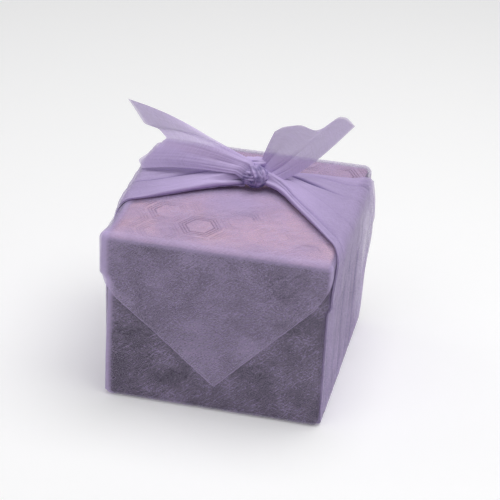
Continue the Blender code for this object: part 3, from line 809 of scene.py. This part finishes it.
# the free ends: fans of cloth from the knot, each fold with its root, hem, arch and ridge
leftEnd = {
    "folds": (
        ((-4, 10, 10), (-133, 30, 50.5), 5.8, 0),
        ((-2.2, 8.8, 11.8), (-125, 27, 42), 6, 0.6),
        ((1, 5.8, 13.8), (-114, 22, 30), 6, 0.8),
        ((2.4, 2, 14.4), (-99, 20, 27.5), 7, -1),
        ((-1, -1.6, 14.2), (-89, 12, 23), 5, 0.6),
        ((-5.5, -4, 12.2), (-101, 6, 11.7), 5, -0.6),
        ((-9, -6, 8.5), (-114, 2, 1.2), 4, 0.6),
        ((-11.2, -7.2, 5), (-109, -3, -5), 3, 0),
    ),
    "soften": 2,
    "archPower": 1.3,  # over 1 the arch is highest near the hem
    "tuck": 0.005,  # how far the cloth dips into the knot where it leaves it
    # where a crease leaves the knot and where it points to at the hem, counted in folds, its depth,
    # how soft it is, and the shares of the way that it runs over
    "creases": (
        (1.1, 1.3, 0.6, 0.26, -0.2, 0.45),
        (2.1, 2.6, 1.1, 0.26, -0.2, 0.8),
        (3.1, 3.3, 0.6, 0.14, -0.2, 0.5),
        (3.8, 4.3, 1, 0.22, 0.02, 0.66),
        (4.5, 4.6, 0.6, 0.14, -0.2, 0.45),
        (5.1, 5.5, 1, 0.22, 0, 0.58),
        (6.1, 6.1, 0.7, 0.18, -0.2, 0.6),
    ),
    "seed": 31,
}
rightEnd = {
    "folds": (
        ((3, 9, 10), (14.5, 12, 44.3), 2, 0),
        ((4.6, 8, 8.6), (22.3, 15, 49.5), 2, 0.4),
        ((6.2, 6.9, 6.9), (38.7, 18, 52.6), 0, -0.4),
        ((7.8, 5.7, 5), (54.9, 19, 46.8), -3, 0.6),
        ((9.8, 4.5, 3), (73.4, 21, 64.6), -7, -0.4),
        ((12.2, 3.3, 1), (81, 22, 64.1), -10, 0.4),
        ((14.5, 2, -1), (89.9, 20, 56.7), -13, 0),
    ),
    "soften": 4,
    "archPower": 0.75,
    "tuck": 0.0,
    "creases": (
        (0.8, 0.9, 0.5, 0.2, -0.2, 0.55),
        (1.9, 1.8, 0.9, 0.3, -0.2, 0.7),
        (3, 3.1, 0.5, 0.2, 0.05, 0.6),
        (3.9, 3.6, 1, 0.4, -0.2, 0.8),
        (4.9, 4.9, 0.7, 0.2, -0.2, 0.55),
    ),
    "seed": 32,
}
bothEnds = {
    "grid": (116, 48),  # across and along, and half of both for the layer behind
    "ridge": 1.3,
    "sway": 0.25,  # how far a crease wanders, counted in folds
    "swell": 0.0008,
    "crinkle": 0.00016,
    "darkFull": 1.8,  # a crease this deep, in mm, has fully dark painted shade
    "behind": 0.0009,  # how far the second layer hangs behind the first
    "shorter": (0.02, 0.008),  # and how much shorter it is
    "hemWide": 0.018,  # share of the way along
    "borderWide": 0.12,  # counted in folds
    "bunch": (0.4, 0.55, 0.45),  # how dense it looks, how much denser at the knot, over what share
    # painted shade: how dark it is in the creases, and near the knot where the cloth leaves it and where it
    # dips into it, with the share of the way that each covers
    "creaseDark": 0.6,
    "rootDark": ((0.3, 0.12), (0.9, 0.045)),
}


def buildEnd(end, layer):
    roots, hems, arches, ridges = (mm * np.array(column) for column in zip(*end["folds"]))
    count, seed = len(end["folds"]), end["seed"]
    columns, rows = (size // (layer + 1) for size in bothEnds["grid"])
    spread, share = np.linspace(0, count - 1, columns), np.linspace(0, 1, rows)[:, None]

    def across(values, width):
        return softened(np.interp(spread, np.arange(count), values), width)

    root = np.stack([across(values, 2) for values in roots.T], 1)
    hem = np.stack([across(values, end["soften"]) for values in hems.T], 1)
    arch, ridge = across(arches, 4), across(ridges, 4)
    if layer:
        shorter, uneven = bothEnds["shorter"]
        hem = hem + (root - hem) * (shorter + uneven * np.sin(spread * 1.7 + seed))[:, None]
    points = knotMiddle + root + (hem - root) * share[..., None]
    points[..., 2] += arch * np.sin(math.pi * share ** end["archPower"])
    dip = end["tuck"] * (1 - rise(share, 0, 0.07))
    points[..., 0] += 0.6 * dip
    points[..., 2] -= dip
    normals = normalsOf(points)
    normals *= -np.sign(normals[..., 1].sum())
    relief = bothEnds["ridge"] * ridge * np.sin(math.pi * share**0.6)
    bent = spread[None] + bothEnds["sway"] * grain(pair(spread[None] * 0.3, share * 2), 1.0, seed + 2)
    # the creases' depth, and the darkness of their painted shade
    dark = np.zeros_like(bent)
    for atRoot, atHem, deep, soft, first, last in end["creases"]:
        groove = valley(bent - atRoot - (atHem - atRoot) * share, 0.002, soft)
        here = rise(share, first, 0.2) * rise(last, share, 0.4)
        relief = relief - deep * mm * groove * here
        dark = np.maximum(dark, deep / bothEnds["darkFull"] * groove**4 * here * (1 - share) ** 2)
    lines = pair(spread[None] * 0.9, share * 0.8)
    relief = relief + bothEnds["swell"] * grain(lines, 1.1, seed) * share * (1.3 - share)
    relief = relief + bothEnds["crinkle"] * grain(lines * (2.5, 0.8), 2.6, seed + 1) * (1.5 - share)
    points = points + normals * relief[..., None]
    if layer:
        points = points - normals * (bothEnds["behind"] * np.sin(math.pi * share**0.6) + 0.0004)[..., None]
    width = np.linalg.norm(hem[-1] - hem[0])
    weave = (spread / count * width)[None] * (0.3 + 0.7 * share)
    borders = np.minimum(spread, count - 1 - spread)[None] / bothEnds["borderWide"]
    nearHem = rise(share - 1 + bothEnds["hemWide"], 0, bothEnds["hemWide"])
    dense, denser, denserOver = bothEnds["bunch"]
    # painted shade in the creases and near the knot
    paintedShade = bothEnds["creaseDark"] * dark
    (rootDark, rootOver), (tuckDark, tuckOver) = bothEnds["rootDark"]
    paintedShade = np.maximum(paintedShade, rootDark * rise(1 - share / rootOver))
    paintedShade = np.maximum(paintedShade, tuckDark * rise(1 - share / tuckOver) * (end["tuck"] > 0))
    addPatch(points, pair(weave, share * 0.11 + layer), paintedShade=paintedShade,
             bunch=dense + denser * rise(1 - share / denserOver),
             hem=np.maximum(nearHem, rise(1 - borders) * rise(share * 4)))


buildStrip()
buildCornerFolds()
for side in (rightSide, leftSide):
    buildGather(side)
buildKnot()
buildKnotLoop()
for end in (leftEnd, rightEnd):
    for layer in (0, 1):
        buildEnd(end, layer)
clothPiece = joinPatches("wrapping_cloth")
print("cloth shaped")


def newMaterial(name):
    mat = bpy.data.materials.new(name)
    mat.use_nodes = True
    return mat, mat.node_tree, mat.node_tree.nodes["Principled BSDF"]


def setSockets(node, values):
    for key, value in values.items():
        if isinstance(value, bpy.types.NodeSocket):
            node.id_data.links.new(value, node.inputs[key])
        else:
            node.inputs[key].default_value = value


def addNode(tree, kind, settings=None, inputs=(), **named):
    node = tree.nodes.new(kind)
    for key, value in (settings or {}).items():
        setattr(node, key, value)
    setSockets(node, {**dict(enumerate(inputs)), **named})
    return node


def maths(tree, operation, *values, clamp=False):
    return addNode(tree, "ShaderNodeMath", {"operation": operation, "use_clamp": clamp}, values).outputs[0]


def vectorMaths(tree, operation, *values, result=0):
    return addNode(tree, "ShaderNodeVectorMath", {"operation": operation}, values).outputs[result]


def remap(tree, *values):
    # value, from low and high, to low and high
    return addNode(tree, "ShaderNodeMapRange", {"clamp": True}, values).outputs[0]


def clouds(tree, place, scale, detail, roughness=0.5, distortion=0.0):
    return addNode(tree, "ShaderNodeTexNoise", Vector=place, Scale=scale, Detail=detail,
                   Roughness=roughness, Distortion=distortion).outputs[0]


def axis(tree, vector, number):
    return addNode(tree, "ShaderNodeSeparateXYZ", Vector=vector).outputs[number]


def placed(tree, place, **named):
    return addNode(tree, "ShaderNodeMapping", {"vector_type": "TEXTURE"}, Vector=place, **named).outputs[0]


def mixColours(tree, share, first, second):
    node = addNode(tree, "ShaderNodeMix", {"data_type": "RGBA"})
    setSockets(node, {0: share, 6: first, 7: second})
    return node.outputs[2]


def combined(tree, operation, values):
    return reduce(lambda first, second: maths(tree, operation, first, second), values)


clothFinish = {
    "thin": (0.605, 0.495, 0.77, 1),
    "bunched": (0.645, 0.512, 0.85, 1),
    # the colour of the painted shade in creases, hollows and under folds
    "paintedShade": (0.06, 0.045, 0.2, 1),
    "layerCover": 0.325,  # how much of what is behind one layer hides
    "bunchCover": 0.97,
    "hemCover": 0.66,
    # fibres: how far they are turned, and how many to a metre along and across them
    "streaks": ((-0.62, 44.0, 1050.0), (-0.9, 60.0, 1300.0), (0.35, 90.0, 1300.0)),
    # how much fibres, clouds and specks take from the cover and add to it, and their part in its tone
    "unevenCover": ((-0.17, 0.18), (-0.12, 0.12), (-0.12, 0.11)),
    "unevenTone": ((0.94, 1.09), (-0.04, 0.04)),
    "roughness": 0.62,
    "sheen": 0.15,
    "sheenRoughness": 0.4,
}


def makeClothMaterial():
    mat, tree, shader = newMaterial("sheer_nonwoven")
    uv = addNode(tree, "ShaderNodeUVMap", {"uv_map": "cloth"}).outputs[0]
    streaks = []
    for turn, long, fine in clothFinish["streaks"]:
        along = placed(tree, uv, Rotation=(0, 0, turn), Scale=(1 / long, 1 / fine, 1))
        streaks.append(clouds(tree, along, 1.0, 3.0, 0.6, 0.45))
    fibres = remap(tree, combined(tree, "MAXIMUM", streaks), 0.42, 0.78, 0.0, 1.0)
    cloudy = remap(tree, clouds(tree, uv, 26.0, 5.0, 0.62), 0.32, 0.68, 0.0, 1.0)
    specks = clouds(tree, uv, 520.0, 3.0, 0.7)
    bunch, hem, paintedShade = (
        addNode(tree, "ShaderNodeAttribute", {"attribute_name": name}).outputs["Fac"] for name in markNames)

    grains = ((fibres, 0.0, 1.0), (cloudy, 0.0, 1.0), (specks, 0.3, 0.7))
    uneven, tone = (
        combined(tree, "ADD", [remap(tree, *source, *span) for source, span in zip(grains, spans)])
        for spans in (clothFinish["unevenCover"], clothFinish["unevenTone"]))
    spared = maths(tree, "SUBTRACT", 1.0, bunch, clamp=True)
    uneven = maths(tree, "MULTIPLY", uneven, maths(tree, "MULTIPLY", spared, spared))
    alpha = maths(tree, "ADD", uneven, clothFinish["layerCover"])
    toBunch = maths(tree, "MULTIPLY", bunch, maths(tree, "SUBTRACT", clothFinish["bunchCover"], alpha))
    alpha = maths(tree, "ADD", alpha, toBunch)
    alpha = maths(tree, "MAXIMUM", alpha, maths(tree, "MULTIPLY", hem, clothFinish["hemCover"]))
    # painted shade makes the cloth more opaque, and its dark violet is mixed into the colour below
    alpha = maths(tree, "MAXIMUM", alpha, paintedShade, clamp=True)

    colour = mixColours(tree, bunch, clothFinish["thin"], clothFinish["bunched"])
    toned = addNode(tree, "ShaderNodeVectorMath", {"operation": "SCALE"}, Vector=colour, Scale=tone)
    relief = addNode(tree, "ShaderNodeBump", Strength=0.15, Distance=0.0003, Height=fibres).outputs[0]
    setSockets(shader, {
        "Base Color": mixColours(tree, paintedShade, toned.outputs[0], clothFinish["paintedShade"]),
        "Alpha": alpha,
        "Normal": relief,
        "Roughness": clothFinish["roughness"],
        "Sheen Weight": clothFinish["sheen"],
        "Sheen Roughness": clothFinish["sheenRoughness"],
    })
    return mat


boxFinish = {
    "board": (0.01, 0.007, 0.016, 1),
    "boardWorn": (0.02, 0.015, 0.03, 1),
    "boardRoughness": (0.45, 0.65),
    "paper": (0.85, 0.57, 0.62, 1),
    "paperDark": (0.55, 0.38, 0.51, 1),
    "line": (0.17, 0.06, 0.11, 1),
    "hexagon": 0.04,  # across the flats of one hexagon of the lid's paper
    "hexagonAt": (-0.0256, -0.0613),
    # where a hexagon's dark rings are, from 0 in the middle to 0.5, and half their width
    "rings": ((0.3, 0.018), (0.372, 0.016), (0.44, 0.014)),
    "ringSoft": 0.012,
    "shown": (0.05, 0.55),  # how much of the rings shows elsewhere
    # where the pattern shows best through the cloth: left to right, front to back, and how far
    "clear": (
        (-26, -62, 26), (-70, -35, 18), (12, -28, 14),
        (78, -78, 12), (88, 84, 15), (45, 90, 12),
    ),
    "darker": (0.035, 0.08, 0.85),  # from and to which y the paper gets darker, and how much
}


def makeBoardMaterial(name):
    mat, tree, shader = newMaterial(name)
    place = addNode(tree, "ShaderNodeTexCoord").outputs["Object"]
    speckle = clouds(tree, place, 260.0, 4.0)
    colour = mixColours(tree, speckle, boxFinish["board"], boxFinish["boardWorn"])
    rough = remap(tree, speckle, 0.3, 0.7, *boxFinish["boardRoughness"])
    setSockets(shader, {"Base Color": colour, "Roughness": rough})
    return mat, tree, shader, place, colour


def hexagonEdge(tree, place):
    # distance from a hexagon's middle, 0 to 0.5 at its sides, pointed to left and right
    size, wide = boxFinish["hexagon"], math.sqrt(3)
    scaled = placed(tree, place, Location=(*boxFinish["hexagonAt"], 0), Scale=(size, size, 1))
    halves = []
    for shift in (0.5, 0.0):
        moved = vectorMaths(tree, "ADD", scaled, (wide * shift, shift, 0))
        wrapped = vectorMaths(tree, "WRAP", moved, (wide, 1, 1), (0, 0, 0))
        centred = vectorMaths(tree, "SUBTRACT", wrapped, (wide / 2, 0.5, 0))
        x, y = (maths(tree, "ABSOLUTE", axis(tree, centred, number)) for number in (0, 1))
        slanted = maths(tree, "ADD", maths(tree, "MULTIPLY", x, wide / 2), maths(tree, "MULTIPLY", y, 0.5))
        halves.append(maths(tree, "MAXIMUM", slanted, y))
    return maths(tree, "MINIMUM", *halves)


def makeLidMaterial():
    mat, tree, shader, place, board = makeBoardMaterial("patterned_lid_paper")
    edge = hexagonEdge(tree, place)
    rings = []
    for at, wide in boxFinish["rings"]:
        off = maths(tree, "ABSOLUTE", maths(tree, "SUBTRACT", edge, at))
        rings.append(remap(tree, off, wide - boxFinish["ringSoft"], wide + boxFinish["ringSoft"], 1.0, 0.0))
    shown = [remap(tree, clouds(tree, place, 22.0, 2.0), 0.42, 0.66, *boxFinish["shown"])]
    for x, y, reach in boxFinish["clear"]:
        there = vectorMaths(tree, "DISTANCE", place, (x * mm, y * mm, lidTop), result="Value")
        shown.append(remap(tree, there, reach * 0.6 * mm, reach * 1.2 * mm, 1.0, 0.0))
    lines = maths(tree, "MULTIPLY", *(combined(tree, "MAXIMUM", values) for values in (rings, shown)))
    mottle = remap(tree, clouds(tree, place, 19.0, 5.0, 0.6), 0.35, 0.65, 0.0, 1.0)
    darkFrom, darkTo, darker = boxFinish["darker"]
    mottle = maths(tree, "MULTIPLY", mottle,
                   remap(tree, axis(tree, place, 1), darkFrom, darkTo, 1.0, 1.0 - darker))
    paper = mixColours(tree, mottle, boxFinish["paperDark"], boxFinish["paper"])
    paper = mixColours(tree, lines, paper, boxFinish["line"])
    up = axis(tree, addNode(tree, "ShaderNodeTexCoord").outputs["Normal"], 2)
    onTop = remap(tree, up, 0.35, 0.55, 0.0, 1.0)
    setSockets(shader, {"Base Color": mixColours(tree, onTop, board, paper)})
    return mat


def dressNode(name, mat):
    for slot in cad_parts[name].material_slots:
        slot.material = mat


clothPiece.data.materials.append(makeClothMaterial())
dressNode("box_base", makeBoardMaterial("dark_board")[0])
dressNode("box_lid", makeLidMaterial())
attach(clothPiece, "root")
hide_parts("furoshiki_cloth")
print("materials made")

studio = {
    "floorSize": 12,
    "floor": (0.98, 0.98, 0.985, 1),
    "floorRoughness": 0.9,
    "floorGlow": 0.12,  # a little of its own light, so that it comes out as white as a backdrop
    "world": 0.22,
    "aim": (0, 0, 0.15),
    "lamps": (
        # place, size and power
        ((0.45, 0.08, 1.9), 1.8, 25.8),
        ((-0.6, -1.0, 1.9), 1.4, 4.5),
        ((-1.3, 0.2, 1.3), 1.0, 2.2),
    ),
}
camera = {
    "azimuth": 11.623,
    "elevation": 29.123,
    "roll": 2.546,
    "distance": 1.785,
    "target": (0.00928, 0.0, 0.12026),
    "lens": 135.085,
    "sensor": 36,
}


def makeStudio():
    bpy.ops.mesh.primitive_plane_add(size=studio["floorSize"])
    floor = bpy.context.object
    floor.name = "floor"
    mat, tree, shader = newMaterial("pale_floor")
    setSockets(shader, {
        "Base Color": studio["floor"],
        "Roughness": studio["floorRoughness"],
        "Emission Color": (1, 1, 1, 1),
        "Emission Strength": studio["floorGlow"],
    })
    floor.data.materials.append(mat)
    world = bpy.data.worlds.new("studio")
    bpy.context.scene.world = world
    bpy.context.scene.view_settings.view_transform = "Standard"
    world.use_nodes = True
    setSockets(world.node_tree.nodes["Background"], {"Color": (1, 1, 1, 1), "Strength": studio["world"]})
    for number, (place, size, power) in enumerate(studio["lamps"]):
        light = bpy.data.lights.new(f"lamp{number}", "AREA")
        light.shape, light.size, light.energy = "DISK", size, power
        lamp = bpy.data.objects.new(light.name, light)
        bpy.context.scene.collection.objects.link(lamp)
        lamp.location = place
        lamp.rotation_euler = (Vector(studio["aim"]) - Vector(place)).to_track_quat("-Z", "Y").to_euler()


def makeCamera():
    azimuth, elevation, roll = (math.radians(camera[name]) for name in ("azimuth", "elevation", "roll"))
    level = math.cos(elevation)
    back = Vector((math.sin(azimuth) * level, -math.cos(azimuth) * level, math.sin(elevation)))
    data = bpy.data.cameras.new("camera")
    data.lens, data.sensor_width = camera["lens"], camera["sensor"]
    viewer = bpy.data.objects.new("camera", data)
    bpy.context.scene.collection.objects.link(viewer)
    turned = back.to_track_quat("Z", "Y").to_matrix().to_4x4() @ Matrix.Rotation(roll, 4, "Z")
    turned.translation = Vector(camera["target"]) + back * camera["distance"]
    viewer.matrix_world = turned
    bpy.context.scene.camera = viewer


makeStudio()
makeCamera()
print("scene ready")
